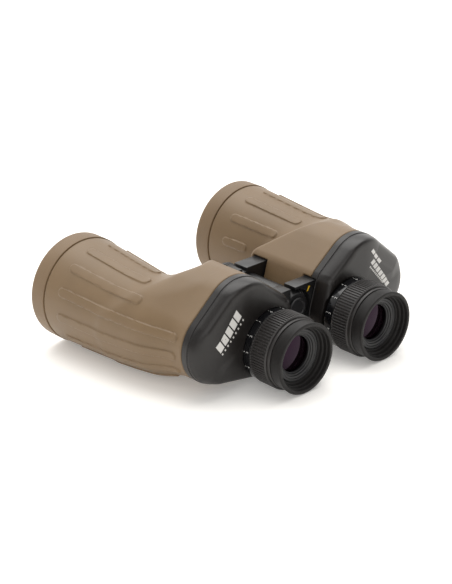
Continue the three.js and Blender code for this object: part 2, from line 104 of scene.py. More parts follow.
FOLD_X = (OBJECTIVE_X + EYE_X) / 2 - (OBJECTIVE_Z - EYE_Z) / 2
FOLD_Z = (OBJECTIVE_Z + EYE_Z) / 2 + (OBJECTIVE_X - EYE_X) / 2
ALONG = np.array([FOLD_X - EYE_X, FOLD_Z - EYE_Z])
ALONG /= np.linalg.norm(ALONG)
PRISM_MIDDLE = np.array([FOLD_X + EYE_X, FOLD_Z + EYE_Z]) / 2
ROOF_SLOPE, ROOF_CROWN_Y, ROOF_INNER_Y, NOSE_Y = 0.87, 97.3, 107.5, 99.0
HIP_SLOPE, HIP_START = 0.5, -15.0        # the crown plane climbs towards the outer side from here

# Grip ribs: angle about the tube from the outer side, and where each one ends towards the eyepiece.
RIB_FRONT = 146.0
RIBS = [(166, 126), (137, 107), (108, 98), (79, 90), (51, 83), (22, 51), (-7, 51), (-36, 52), (-65, 62)]
RIB_HALF_WIDTH, RIB_HEIGHT = 2.7, 0.85

# Widths over which the armour's surfaces run into each other.
HIP_BLEND, ROOF_BLEND, NOSE_BLEND, EDGE_BLEND = 8.0, 5.0, 3.0, 2.6
ROOF_FILLET, SIDE_FILLET = 17.0, 15.0    # between tube and housing: under the roof, and on the outer side
RIB_TOP_BLEND, RIB_FOOT_BLEND, END_ROUNDING = 0.45, 0.3, 0.8
FILLET_REACH = 8.0                       # either side of where roof and outline are equally near
OUTWARD_START, OUTWARD_SPAN = -16.0, 20.0    # across the prism, where the side fillet fades in
SIDE_FILLET_FROM, SIDE_FILLET_SPAN = 50.0, 30.0    # and along y
NOTCH_MARGIN, NOTCH_DEPTH_MARGIN = 0.9, 0.3  # around a lug, where it enters the armour
FAR = 50.0                               # a distance further than any rib matters
BORE_SEGMENTS = 160
BOSS_NOSE_R = 8.9                        # small end of the tapered boss that carries the spacing scale

# ---------------------------------------------------------------- materials


def node_material(name):
    material = bpy.data.materials.new(name)
    material.use_nodes = True
    nodes = material.node_tree.nodes
    return material, nodes, material.node_tree.links, nodes["Principled BSDF"]


def noise(nodes, links, coordinates, scale, detail=3.0, roughness=0.55):
    texture = nodes.new("ShaderNodeTexNoise")
    texture.inputs["Scale"].default_value = scale
    texture.inputs["Detail"].default_value = detail
    texture.inputs["Roughness"].default_value = roughness
    links.new(coordinates, texture.inputs["Vector"])
    return texture.outputs["Fac"]


def surface_material(name, colour, roughness, *, metallic=0.0, specular=0.5, grain=2200.0, depth=0.05,
                     variation=0.08, patches=45.0, rough_spread=0.06, lines=0.0, sheen=0.0):
    """Principled surface with patchy colour and roughness, a fine grain and, if asked, turned lines."""
    material, nodes, links, shader = node_material(name)
    coordinates = nodes.new("ShaderNodeTexCoord").outputs["Object"]
    patch = noise(nodes, links, coordinates, patches, 4.0)
    ramp = nodes.new("ShaderNodeValToRGB")
    for stop, amount in zip(ramp.color_ramp.elements, (1 - variation, 1 + variation)):
        stop.color = (*[min(1.0, channel * amount) for channel in colour], 1)
    ramp.color_ramp.elements[0].position = 0.3
    ramp.color_ramp.elements[1].position = 0.7
    links.new(patch, ramp.inputs["Fac"])
    links.new(ramp.outputs["Color"], shader.inputs["Base Color"])
    spread = nodes.new("ShaderNodeMapRange")
    spread.inputs["To Min"].default_value = max(0.02, roughness - rough_spread)
    spread.inputs["To Max"].default_value = roughness + rough_spread
    links.new(noise(nodes, links, coordinates, patches * 4, 3.0), spread.inputs["Value"])
    links.new(spread.outputs["Result"], shader.inputs["Roughness"])
    shader.inputs["Metallic"].default_value = metallic
    shader.inputs["Specular IOR Level"].default_value = specular
    shader.inputs["Sheen Weight"].default_value = sheen
    height = noise(nodes, links, coordinates, grain, 2.0)
    if lines:
        wave = nodes.new("ShaderNodeTexWave")
        wave.bands_direction = "Y"
        wave.inputs["Scale"].default_value = lines
        wave.inputs["Distortion"].default_value = 0.0
        links.new(coordinates, wave.inputs["Vector"])
        add = nodes.new("ShaderNodeMath")
        add.operation = "ADD"
        links.new(height, add.inputs[0])
        links.new(wave.outputs["Fac"], add.inputs[1])
        height = add.outputs["Value"]
    bump = nodes.new("ShaderNodeBump")
    bump.inputs["Strength"].default_value = 1.0
    bump.inputs["Distance"].default_value = depth * MM
    links.new(height, bump.inputs["Height"])
    links.new(bump.outputs["Normal"], shader.inputs["Normal"])
    return material


DUST_ROUGHNESS = 0.015


def glass_material(name, colour, tint, transmission=1.0, specular=0.5):
    """Optical glass whose coating tints what it reflects; thin dust makes its gloss uneven."""
    material, nodes, links, shader = node_material(name)
    coordinates = nodes.new("ShaderNodeTexCoord").outputs["Object"]
    shader.inputs["Base Color"].default_value = (*colour, 1)
    shader.inputs["Transmission Weight"].default_value = transmission
    shader.inputs["IOR"].default_value = 1.52
    shader.inputs["Specular IOR Level"].default_value = specular
    shader.inputs["Specular Tint"].default_value = (*tint, 1)
    spread = nodes.new("ShaderNodeMapRange")
    spread.inputs["To Min"].default_value = 0.0
    spread.inputs["To Max"].default_value = DUST_ROUGHNESS
    links.new(noise(nodes, links, coordinates, 120.0), spread.inputs["Value"])
    links.new(spread.outputs["Result"], shader.inputs["Roughness"])
    return material


ARMOUR = surface_material(
    "armour_rubber", (0.182, 0.120, 0.064), 0.46, grain=1900, depth=0.055, variation=0.05, specular=0.42)
ARMOUR_RING = surface_material(
    "armour_turned_ring", (0.182, 0.120, 0.066), 0.52, grain=1900, depth=0.05, variation=0.05,
    specular=0.4, lines=520)
COVER = surface_material(
    "satin_black_paint", (0.0105, 0.0088, 0.0082), 0.34, grain=2600, depth=0.025, variation=0.15,
    specular=0.4)
CELL = surface_material(
    "matte_black_anodised", (0.010, 0.010, 0.011), 0.42, grain=3000, depth=0.02, variation=0.15)
GLOSS = surface_material(
    "gloss_black_paint", (0.005, 0.005, 0.006), 0.14, grain=900, depth=0.006, variation=0.1,
    rough_spread=0.04)
KNURL = surface_material(
    "knurled_black_rubber", (0.0200, 0.0178, 0.0170), 0.46, grain=2400, depth=0.03, variation=0.15)
CUP = surface_material(
    "soft_black_rubber", (0.0085, 0.0074, 0.0070), 0.50, grain=2600, depth=0.03, variation=0.12,
    sheen=0.05, specular=0.22)
LUG = surface_material(
    "black_paint_on_casting", (0.012, 0.012, 0.0125), 0.34, grain=1500, depth=0.04, variation=0.15)
ALLOY = surface_material(
    "machined_alloy", (0.40, 0.40, 0.41), 0.38, metallic=1.0, grain=1200, depth=0.01)
BRASS = surface_material(
    "greased_brass", (0.45, 0.30, 0.10), 0.32, metallic=1.0, grain=1200, depth=0.01, lines=320)
STEEL = surface_material(
    "plain_steel", (0.50, 0.50, 0.52), 0.30, metallic=1.0, grain=1500, depth=0.006)
PAINT_WHITE = surface_material(
    "white_marking", (0.62, 0.61, 0.59), 0.55, grain=3000, depth=0.01, variation=0.06)
PAINT_GREY = surface_material(
    "grey_marking", (0.30, 0.30, 0.30), 0.55, grain=3000, depth=0.01, variation=0.06)
PAINT_YELLOW = surface_material(
    "yellow_index", (0.80, 0.48, 0.015), 0.5, grain=3000, depth=0.01, variation=0.05)
PRISM_GLASS = glass_material("prism_glass", (0.85, 0.92, 0.92), (1, 1, 1))
LENS_GLASS = glass_material("violet_coated_glass", (0.75, 0.62, 0.82), (0.72, 0.35, 1.0), specular=0.6)
# Eye lens: its near-black, barely transmissive glass is painted shade for the dark eyepiece interior behind
# it; its violet glint is the coating's real reflection.
EYE_GLASS_PAINTED_SHADE = glass_material(
    "violet_eye_glass_painted_shade", (0.003, 0.001, 0.002), (0.55, 0.16, 0.55), transmission=0.1, specular=0.22)

# ---------------------------------------------------------------- mesh helpers


def object_from(name, points, faces):
    """A mesh object in optical millimetres, its faces turned outwards."""
    mesh = bpy.data.meshes.new(name)
    mesh.from_pydata(np.asarray(points, float).tolist(), [], [list(face) for face in faces])
    build = bmesh.new()
    build.from_mesh(mesh)
    bmesh.ops.remove_doubles(build, verts=build.verts, dist=1e-4)
    bmesh.ops.dissolve_degenerate(build, dist=1e-5, edges=build.edges)
    bmesh.ops.recalc_face_normals(build, faces=build.faces)
    build.to_mesh(mesh)
    build.free()
    thing = bpy.data.objects.new(name, mesh)
    bpy.context.scene.collection.objects.link(thing)
    return thing


def finish_piece(thing, body, material, replaces=(), sharp=35.0, mirrored=False):
    if mirrored:
        thing.data.transform(Matrix.Scale(-1, 4, (1, 0, 0)))
        thing.data.flip_normals()
    thing.data.transform(TO_ROW)
    thing.data.polygons.foreach_set("use_smooth", [True] * len(thing.data.polygons))
    thing.data.set_sharp_from_angle(angle=math.radians(sharp))
    thing.data.materials.clear()
    thing.data.materials.append(material)
    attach(thing, body)
    if replaces:
        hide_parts(*replaces)
    return thing


def apply_modifiers(thing):
    bpy.context.view_layer.update()
    graph = bpy.context.evaluated_depsgraph_get()
    mesh = bpy.data.meshes.new_from_object(thing.evaluated_get(graph))
    thing.modifiers.clear()
    old = thing.data
    thing.data = mesh
    bpy.data.meshes.remove(old)


def combine(thing, operation, *tools):
    for tool in tools:
        modifier = thing.modifiers.new("combine", "BOOLEAN")
        modifier.object = tool
        modifier.operation = operation
        modifier.solver = "EXACT"
        apply_modifiers(thing)
        mesh = tool.data
        bpy.data.objects.remove(tool)
        bpy.data.meshes.remove(mesh)
    return thing


def bevelled(thing, width):
    modifier = thing.modifiers.new("edges", "BEVEL")
    modifier.width = width
    modifier.segments = 2
    modifier.limit_method = "ANGLE"
    modifier.angle_limit = math.radians(35.0)
    modifier.use_clamp_overlap = True
    apply_modifiers(thing)
    return thing


def rounded(profile):
    """Rounds the corners of a closed profile of (radius, y, fillet) points."""
    points = []
    count = len(profile)
    for i, (r, y, fillet) in enumerate(profile):
        corner = np.array([r, y])
        if not fillet:
            points.append(corner)
            continue
        before = np.array(profile[i - 1][:2]) - corner
        after = np.array(profile[(i + 1) % count][:2]) - corner
        reach = min(fillet, 0.48 * np.linalg.norm(before), 0.48 * np.linalg.norm(after))
        start = corner + before / np.linalg.norm(before) * reach
        end = corner + after / np.linalg.norm(after) * reach
        for t in np.linspace(0, 1, 5):
            points.append((1 - t) ** 2 * start + 2 * t * (1 - t) * corner + t * t * end)
    return np.array(points)


def turned(name, profile, x, z, shift=0.0, segments=128, ripple=None):
    """Turns a closed profile of (radius, y, fillet) points about an axis along Y."""
    rings = rounded(profile)
    angles = np.linspace(0, 2 * math.pi, segments, endpoint=False)
    radius = np.repeat(rings[:, :1], segments, axis=1)
    if ripple:
        radius = radius + ripple(radius, rings[:, 1:2], angles[None, :])
    points = np.stack([
        x + radius * np.cos(angles), np.repeat(rings[:, 1:2] + shift, segments, axis=1),
        z + radius * np.sin(angles),
    ], axis=2)
    return object_from(name, points.reshape(-1, 3), grid_faces(len(rings), segments))


def grid_faces(rows, columns, closed_rows=True):
    """Quads of a grid of points that closes on itself across its columns and, if asked, its rows."""
    faces = []
    for i in range(rows if closed_rows else rows - 1):
        for j in range(columns):
            k = (j + 1) % columns
            below, above = i * columns, (i + 1) % rows * columns
            faces.append((below + j, below + k, above + k, above + j))
    return faces


def loft(name, rings):
    """Skins rings of equal point count and closes both ends with a flat face."""
    rings = np.asarray(rings, float)
    rows, columns = rings.shape[:2]
    faces = grid_faces(rows, columns, closed_rows=False)
    faces.append(tuple(range(columns)))
    faces.append(tuple(range((rows - 1) * columns, rows * columns)))
    return object_from(name, rings.reshape(-1, 3), faces)


def block(name, low, high):
    (x0, y0, z0), (x1, y1, z1) = low, high
    lower = [(x0, y0, z0), (x1, y0, z0), (x1, y1, z0), (x0, y1, z0)]
    upper = [(x, y, z1) for x, y, _ in lower]
    return loft(name, [lower, upper])


def rod(name, x, z, r, y0, y1, segments=96):
    angles = np.linspace(0, 2 * math.pi, segments, endpoint=False)
    ring = [[(x + r * math.cos(a), y, z + r * math.sin(a)) for a in angles] for y in (y0, y1)]
    return loft(name, ring)


# ---------------------------------------------------------------- housing outline


def tangent_angle(a, b):
    dx, dz = b[0] - a[0], b[1] - a[1]
    return math.atan2(dz, dx) + math.acos((a[2] - b[2]) / math.hypot(dx, dz))


def corner_angles(index, steps):
    """Outward normals round one corner of the outline, from one common tangent to the next."""
    arc, before, after = CORNERS[index], CORNERS[index - 1], CORNERS[(index + 1) % len(CORNERS)]
    start = tangent_angle(arc, before) % math.tau
    return np.linspace(start, start + (tangent_angle(after, arc) - start) % math.tau, steps)


OUTLINE = [
    (CORNERS[index], angle)
    for index, steps in enumerate((64, 26, 60, 64))
    for angle in corner_angles(index, steps)
]


def outline_ring(y, inset):
    return [
        (arc[0] + (arc[2] - inset) * math.cos(angle), y, arc[1] + (arc[2] - inset) * math.sin(angle))
        for arc, angle in OUTLINE
    ]


# ---------------------------------------------------------------- armoured body, as a distance field

DIRECTIONS = np.radians(np.arange(0, 360, 1.5))
COSINES, SINES = np.cos(DIRECTIONS), np.sin(DIRECTIONS)
OUTLINE_SUPPORT = np.max([x * COSINES + z * SINES + r for x, z, r in CORNERS], axis=0)
CHUNK = 60000

STATIONS = np.arange(20.0, 180.0, 0.5)
WINDOW = 29                              # stations over which the tube's sections are evened out
SMOOTHING = np.hanning(WINDOW) / np.hanning(WINDOW).sum()


def smooth_station(column):
    """The tube's sections, joined by straight lines and then evened out along the tube."""
    first, last = BARREL[0], BARREL[-1]
    before, after = BARREL[1], BARREL[-2]
    values = np.interp(STATIONS, BARREL[:, 0], BARREL[:, column])
    rear = (before[column] - first[column]) / (before[0] - first[0])
    front = (last[column] - after[column]) / (last[0] - after[0])
    values += np.minimum(STATIONS - first[0], 0) * rear + np.maximum(STATIONS - last[0], 0) * front
    padded = np.pad(values, WINDOW // 2, mode="reflect", reflect_type="odd")
    return np.convolve(padded, SMOOTHING, mode="valid")


TUBE_X, TUBE_Z, TUBE_RADIUS = (smooth_station(column) for column in (1, 2, 3))


def section_distance(x, z, share, tube_x, tube_z, tube_r):
    """Distance to the convex section that is the housing's outline at share 1 and the tube at 0."""
    rest = 1 - share
    features = np.stack([x - rest * tube_x, z - rest * tube_z, -share, -rest * tube_r], axis=1)
    basis = np.stack([COSINES, SINES, OUTLINE_SUPPORT, np.ones_like(COSINES)]).astype(np.float32)
    features = features.astype(np.float32)
    parts = [(features[i:i + CHUNK] @ basis).max(axis=1) for i in range(0, len(features), CHUNK)]
    return np.concatenate(parts).astype(float)


def smooth_max(a, b, width):
    overlap = np.maximum(width - np.abs(a - b), 0) / width
    return np.maximum(a, b) + overlap * overlap * width / 4


def smooth_min(a, b, width):
    width = np.maximum(width, 1e-3)
    overlap = np.maximum(width - np.abs(a - b), 0) / width
    return np.minimum(a, b) - overlap * overlap * width / 4


def smooth_step(value):
    value = np.clip(value, 0, 1)
    return value * value * (3 - 2 * value)


def shell_distance(points):
    """Signed distance to the right armoured shell: outside less inside, less the lugs' notches."""
    x, y, z = points.T
    tube_x, tube_z, tube_r = (np.interp(y, STATIONS, values) for values in (TUBE_X, TUBE_Z, TUBE_RADIUS))
    share = np.clip((SHOULDER_TO - y) / (SHOULDER_TO - SHOULDER_FROM), 0, 1) ** SHOULDER_POWER
    tube = section_distance(x, z, share, tube_x, tube_z, tube_r)
    house = section_distance(x, z, np.ones_like(x), tube_x, tube_z, tube_r)
    along = (x - PRISM_MIDDLE[0]) * ALONG[0] + (z - PRISM_MIDDLE[1]) * ALONG[1]
    steepness = math.hypot(1, ROOF_SLOPE)
    across = (x - PRISM_MIDDLE[0]) * ALONG[1] - (z - PRISM_MIDDLE[1]) * ALONG[0]
    hip = HIP_SLOPE * smooth_max(across - HIP_START, 0.0, HIP_BLEND)
    crown_side = (y + ROOF_SLOPE * along - ROOF_CROWN_Y - hip) / steepness
    inner_side = (y - ROOF_SLOPE * along - ROOF_INNER_Y) / steepness
    roof = smooth_max(smooth_max(crown_side, inner_side, ROOF_BLEND), y - NOSE_Y, NOSE_BLEND)
    nose = smooth_max(house, roof, EDGE_BLEND)
    under_roof = smooth_step((roof - house + FILLET_REACH) / (2 * FILLET_REACH))
    outward = smooth_step((across - OUTWARD_START) / OUTWARD_SPAN)
    outward = outward * smooth_step((y - SIDE_FILLET_FROM) / SIDE_FILLET_SPAN)
    fillet = ROOF_FILLET * under_roof + SIDE_FILLET * outward * (1.0 - under_roof)
    outside = smooth_min(tube, nose, fillet)
    inside = np.minimum(tube, np.maximum(house, roof)) + SHELL_WALL

    around = np.arctan2(z - tube_z, x - tube_x)
    ribs = np.full_like(x, FAR)
    for angle, rear in RIBS:
        off = (around - math.radians(angle) + math.pi) % math.tau - math.pi
        half_length = (RIB_FRONT - rear) / 2 - RIB_HALF_WIDTH
        past_end = np.maximum(np.abs(y - (RIB_FRONT + rear) / 2) - half_length, 0)
        pill = np.hypot(off * tube_r, past_end) - RIB_HALF_WIDTH
        ribs = np.minimum(ribs, smooth_max(pill, outside - RIB_HEIGHT, RIB_TOP_BLEND))
    outside = smooth_min(outside, ribs, RIB_FOOT_BLEND)

    for start, _, end in (REAR_LUG, FRONT_LUG):
        notch = np.maximum(np.abs(y - (start + end) / 2) - (end - start) / 2 - NOTCH_MARGIN,
                           np.abs(z - (LUG_TOP + LUG_BOTTOM) / 2) - (LUG_TOP - LUG_BOTTOM) / 2 - NOTCH_MARGIN)
        notch = np.maximum(notch, x - EYE_X)
        notch = np.maximum(notch, -(house + LUG_SINK + GAP + NOTCH_DEPTH_MARGIN))
        outside = np.maximum(outside, -notch)
    past_ends = np.abs(y - (SHELL_REAR + SHELL_FRONT) / 2) - (SHELL_FRONT - SHELL_REAR) / 2
    outside = smooth_max(outside, past_ends, END_ROUNDING)
    return np.maximum(outside, -inside)


COARSE_STEP = 4                          # grid points between the samples of the first, coarse pass
NEAR_CELLS = 4.6                         # cells from the surface within which every point is sampled
MOVE_REACH = 0.6                         # cells a point may move when it is drawn onto the surface
LEAST_SLOPE = 0.25


def surface_of(distance, low, high, pitch):
    """Quads on the zero surface of a distance function, by surface nets and a few Newton steps."""
    axes = [np.arange(a - 3 * pitch, b + 4 * pitch, pitch) for a, b in zip(low, high)]
    coarse_axes = [axis[0] + pitch * COARSE_STEP * np.arange(len(axis) // COARSE_STEP + 2) for axis in axes]
    mesh = np.stack(np.meshgrid(*coarse_axes, indexing="ij"), axis=-1)
    coarse = distance(mesh.reshape(-1, 3)).reshape(mesh.shape[:3])
    nearest = [np.rint(np.arange(len(axis)) / COARSE_STEP).astype(int) for axis in axes]
    values = coarse[np.ix_(*nearest)]
    near = np.argwhere(np.abs(values) < NEAR_CELLS * pitch)
    origin = np.array([axis[0] for axis in axes])
    values[tuple(near.T)] = distance(origin + near * pitch)

    inside = values < 0
    corners = np.array([(i, j, k) for i in (0, 1) for j in (0, 1) for k in (0, 1)])
    size = np.array(values.shape) - 1
    count = sum(inside[i:i + size[0], j:j + size[1], k:k + size[2]].astype(np.int8) for i, j, k in corners)
    cells = np.argwhere((count > 0) & (count < 8))
    at = np.stack([values[tuple((cells + corner).T)] for corner in corners], axis=1)
    total, hits = np.zeros((len(cells), 3)), np.zeros(len(cells))
    for a in range(8):
        for b in range(a + 1, 8):
            if np.abs(corners[a] - corners[b]).sum() != 1:
                continue
            crossing = (at[:, a] < 0) != (at[:, b] < 0)
            t = np.where(crossing, at[:, a] / np.where(crossing, at[:, a] - at[:, b], 1), 0)
            spot = corners[a] + t[:, None] * (corners[b] - corners[a])
            total += spot * crossing[:, None]
            hits += crossing
    points = origin + (cells + total / hits[:, None]) * pitch

    ids = np.full(size, -1)
    ids[tuple(cells.T)] = np.arange(len(cells))
    quads = []
    for axis in range(3):
        _, two, three = np.roll(np.eye(3, dtype=int), -axis, axis=0)
        span = [slice(None)] * 3
        span[axis] = slice(0, -1)
        ahead = [slice(None)] * 3
        ahead[axis] = slice(1, None)
        changes = np.argwhere(inside[tuple(span)] != inside[tuple(ahead)])
        around = [ids[tuple((changes - two * i - three * j).T)] for i, j in ((1, 1), (0, 1), (0, 0), (1, 0))]
        quad = np.stack(around, axis=1)
        leaving = inside[tuple(changes.T)]
        quads.append(np.where(leaving[:, None], quad, quad[:, ::-1]))
    quads = np.concatenate(quads)

    reach = pitch * MOVE_REACH
    tiny = 0.02
    start = points.copy()
    for _ in range(2):
        here = distance(points)
        slope = np.stack([
            (distance(points + tiny * np.eye(3)[k]) - here) / tiny for k in range(3)], axis=1)
        move = -here[:, None] * slope / np.maximum((slope ** 2).sum(axis=1), LEAST_SLOPE)[:, None]
        points = start + np.clip(points + move - start, -reach, reach)
    return points, quads


def make_shells():
    low = (EYE_CORNER[0] - EYE_CORNER[2] - 2, SHELL_REAR, -2)
    high = (OBJECTIVE_X + RING_R + 2, SHELL_FRONT, CROWN[1] + CROWN[2] + 2)
    pitch = 0.7
    points, quads = surface_of(shell_distance, low, high, pitch)
    for side in ("right", "left"):
        mesh = bpy.data.meshes.new(f"{side}_armoured_shell")
        mesh.from_pydata(points.tolist(), [], quads.tolist())
        shell = bpy.data.objects.new(mesh.name, mesh)
        bpy.context.scene.collection.objects.link(shell)
        finish_piece(shell, f"{side}_barrel", ARMOUR, [f"{side}_body_shell"], 55.0,
                     mirrored=side == "left")


# ---------------------------------------------------------------- rear covers


def lug_cutter(lug, clearance):
    """What a notch for a lug takes out of a cover: a block less the wall that stays behind it."""
    start, _, end = lug
    cutter = block("cutter", (-4, start - clearance, LUG_BOTTOM - clearance),
                   (EYE_X, end + clearance, LUG_TOP + clearance))
    core = loft("core", [outline_ring(y, LUG_SINK + GAP) for y in (20.0, 120.0)])
    return combine(cutter, "DIFFERENCE", core)


CROWN_FADE, EYE_FADE = (95, 80), (115, 60)   # degrees from the outer side: where the roll ends, its fade


def outer_share(angle):
    """How much a cover's rear edge rolls off: 1 towards the outer corner, 0 at the crown and inside."""
    turned = math.degrees((angle + math.pi) % math.tau - math.pi)
    reach, blend = CROWN_FADE if turned > 0 else EYE_FADE
    return float(smooth_step((reach - abs(turned)) / blend))


INNER_ANGLE, INNER_SPREAD = 142, 18      # degrees round the outline: the planed corner and its width


def inner_share(angle):
    """1 where the corner beside the hinge is planed off, fading to both sides."""
    return math.exp(-((math.degrees(angle % math.tau) - INNER_ANGLE) / INNER_SPREAD) ** 2)


def cover_ring(y, inset, forward, outer, inner):
    ring = []
    for arc, angle in OUTLINE:
        share = outer_share(angle)
        r = arc[2] - inset - outer * share - inner * inner_share(angle)
        ring.append((arc[0] + r * math.cos(angle), y + forward * share, arc[1] + r * math.sin(angle)))
    return ring


def smooth_sections(sections, steps=5):
    """Adds sections between the given ones, on a curve that passes through them all."""
    sections = np.array(sections, float)
    padded = np.vstack([2 * sections[0] - sections[1], sections, 2 * sections[-1] - sections[-2]])
    found = []
    for i in range(len(sections) - 1):
        a, b, c, d = padded[i:i + 4]
        for t in np.linspace(0, 1, steps, endpoint=False):
            found.append(0.5 * (2 * b + (c - a) * t + (2 * a - 5 * b + 4 * c - d) * t ** 2
                                + (3 * b - a - 3 * c + d) * t ** 3))
    return [*found, sections[-1]]


# Sections of a cover: y, inset, and what the outer side adds to both and the inner corner to the inset.
COVER_RIM = [
    (COVER_FRONT, 0.25, 0, 0, 0), (COVER_FRONT - 0.25, 0.0, 0, 0, 0),
    (41.75, 0.0, 0, 0, 0), (41.5, 0.15, 0, 0, 0), (41.35, 0.45, 0, 0, 0), (41.0, 0.5, 0, 0, 0),
]
COVER_ROLL = [
    (40.6, 0.35, 0.0, 0.0, 0.0), (38.5, 0.35, 1.2, 0.15, 0.1), (36.5, 0.4, 2.5, 0.5, 0.3),
    (33.6, 0.6, 3.5, 1.4, 0.7), (32.0, 1.0, 3.7, 2.2, 1.2), (31.2, 1.7, 3.5, 2.8, 1.4),
    (30.8, 2.7, 3.2, 3.6, 1.5), (COVER_REAR, 4.2, 2.7, 5.0, 1.5), (COVER_REAR, 6.5, 1.9, 7.5, 1.4),
]
COVER_HOLLOW = [
    (COVER_FRONT + 1, 3, 0, 0, 0), (39, 3.2, 1.5, 0.8, 0.4), (36, 3.6, 3.3, 2.4, 1.6),
    (33.6, 4.6, 3.0, 4.4, 2.6), (COVER_REAR + 2.2, 6, 0.6, 8.5, 2.2),
]
FACE_SHRINKS = (0.93, 0.86, 0.78, 0.7, 0.6, 0.5, 0.4, 0.28, 0.16, 0.05)
FLAT_SHARE = 0.15                        # of the face, around its middle, which lies at COVER_REAR


def make_cover(side):
    """Builds one cover and returns a tree of its surface, in optical millimetres, right-handed."""
    rings = [cover_ring(*section) for section in [*COVER_RIM, *smooth_sections(COVER_ROLL)]]
    middle = np.mean(rings[-1], axis=0)
    middle[1] = COVER_REAR
    edge = np.array(rings[-1])
    for shrink in FACE_SHRINKS:
        ring = middle + (edge - middle) * shrink
        rise = max((shrink - FLAT_SHARE) / (1 - FLAT_SHARE), 0) ** 2
        ring[:, 1] = COVER_REAR + (edge[:, 1] - COVER_REAR) * rise
        rings.append(ring)
    cover = loft(f"{side}_cover", rings)
    hollow = loft("hollow", [cover_ring(*section) for section in COVER_HOLLOW])
    recess_r = COLLAR_R + GAP
    floor = rod("floor", EYE_X, EYE_Z, recess_r + RECESS_WALL, COVER_REAR - 1,
                RECESS_FRONT + RECESS_WALL, BORE_SEGMENTS)
    combine(hollow, "DIFFERENCE", floor)
    recess = rod("recess", EYE_X, EYE_Z, recess_r, COVER_REAR - 3, RECESS_FRONT, BORE_SEGMENTS)
    neck = rod("neck", EYE_X, EYE_Z, NECK_R + GAP, COVER_REAR - 3, COVER_FRONT + 2, BORE_SEGMENTS)
    combine(cover, "DIFFERENCE", hollow, recess, neck, lug_cutter(REAR_LUG, 0.7))
    surface = BVHTree.FromPolygons(
        [vertex.co.copy() for vertex in cover.data.vertices],
        [tuple(polygon.vertices) for polygon in cover.data.polygons])
    finish_piece(cover, f"{side}_barrel", COVER, [f"{side}_rear_cover"], 28.0,
                 mirrored=side == "left")
    return surface


# ---------------------------------------------------------------- objectives


def lens_profile(r, rear, front, rear_bulge, front_bulge, steps=20):
    """(radius, y) points from the axis round the rim and back to it."""
    parts = np.linspace(0, 1, steps)
    back = [(r * p, rear - rear_bulge * (1 - p * p), 0) for p in parts]
    face = [(r * p, front + front_bulge * (1 - p * p), 0) for p in parts[::-1]]
    return back + face


def thread(r, depth, start, end, pitch):
    """Fine V grooves on a bore of radius r, from start to end along y."""
    points = []
    for i in range(int((end - start) / pitch)):
        points += [(r, start + i * pitch, 0), (r + depth, start + (i + 0.5) * pitch, 0)]
    return points + [(r, end, 0)]


def make_objective(side, sign):
    body = f"{side}_barrel"
    x, z = sign * OBJECTIVE_X, OBJECTIVE_Z
    spigot_r, hood_r = 29.3, 27.8
    ring = [
        (RING_R, RING_REAR, 0.45), (spigot_r, RING_REAR, 0), (spigot_r, 153.0, 0), (28.5, 153.0, 0),
        (28.5, 163.0, 0), (hood_r, 163.4, 0), *thread(hood_r, 0.35, 163.8, 168.6, 0.8),
        (hood_r, RING_FRONT, 0.5), (33.0, RING_FRONT, 0.6), (RING_R, RING_FRONT - 0.8, 0.5),
    ]
    finish_piece(turned(f"{side}_objective_band", ring, x, z, segments=192), body, ARMOUR_RING,
                 [f"{side}_objective_ring"])
    cell_r, seat_r = 28.1, 26.35
    cell = [(24.8, 140, 0.3), (cell_r, 140, 0.5), (cell_r, 161.5, 0.4), (seat_r, 161.5, 0.3),
            (seat_r, 141.6, 0), (24.8, 141.6, 0)]
    finish_piece(turned(f"{side}_cell", cell, x, z), body, CELL, [f"{side}_objective_cell"])
    retainer = [(24.9, 154.6, 0.2), (26.0, 154.6, 0), (26.0, 157.2, 0.2), (25.4, 157.2, 0.2),
                (24.9, 156.2, 0.2)]
    finish_piece(turned(f"{side}_retainer", retainer, x, z), body, CELL,
                 [f"{side}_objective_retaining_ring"])
    for name, sizes, node in (
        ("front_glass", (26.0, 149, 153.5, 3, 3), "objective_front_lens"),
        ("rear_glass", (26.0, 142.8, 148.2, -0.6, -3.6), "objective_rear_lens"),
    ):
        finish_piece(turned(f"{side}_{name}", lens_profile(*sizes), x, z), body, LENS_GLASS,
                     [f"{side}_{node}"])


# ---------------------------------------------------------------- eyepieces

KNURL_RIDGES = 80
KNURL_STEPS = 9
KNURL_DEPTH = 0.62


def knurl_ripple(radius, y, angle):
    """Grooves along Y on the grip band, which fade out just before its chamfers."""
    phase = np.abs((angle * KNURL_RIDGES / math.tau) % 1 - 0.5) * 2
    groove = smooth_step((phase - 0.42) / 0.3)
    band = smooth_step((y - FOCUS_REAR - 0.75) / 0.35) * smooth_step((FOCUS_FRONT - 0.75 - y) / 0.35)
    return -KNURL_DEPTH * groove * band * (radius > COLLAR_R)


